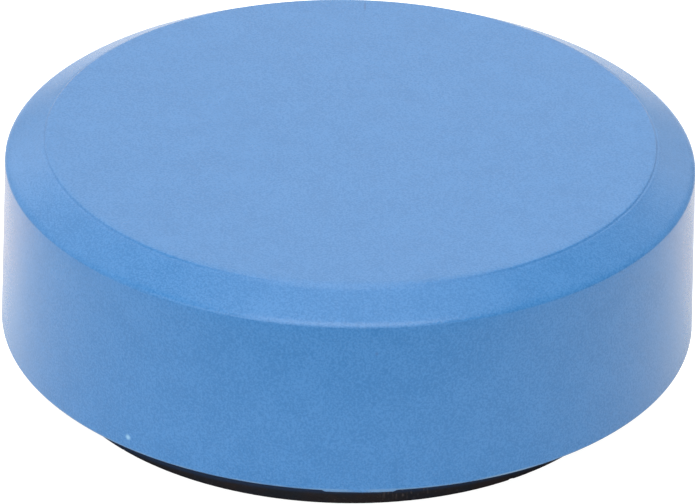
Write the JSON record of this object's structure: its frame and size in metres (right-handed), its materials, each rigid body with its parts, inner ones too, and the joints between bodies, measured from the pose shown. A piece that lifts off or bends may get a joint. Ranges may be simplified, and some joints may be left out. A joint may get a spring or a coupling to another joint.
{
  "type": "whiteboard magnet",
  "caption": "Round board magnet: a bevelled moulded plastic cap with a glued-in ferrite disc that stands slightly proud of its open rim.",
  "frame": {"origin": "on the cap's axis, in the plane of the magnet's underside, which is the board's surface when it is in use", "axes": "+Z along the cap's axis, away from the board; X along the direction in which the magnet sits slightly off centre"},
  "size_m": [0.03, 0.03, 0.0106],
  "materials": {
    "cap_plastic": "satin",
    "ferrite": "matte",
    "adhesive": "gloss"
  },
  "bodies": {
    "root": {"cap": "cap_plastic", "magnet": "ferrite", "rim_adhesive": "adhesive", "hub_adhesive": "adhesive"}
  },
  "joints": []
}
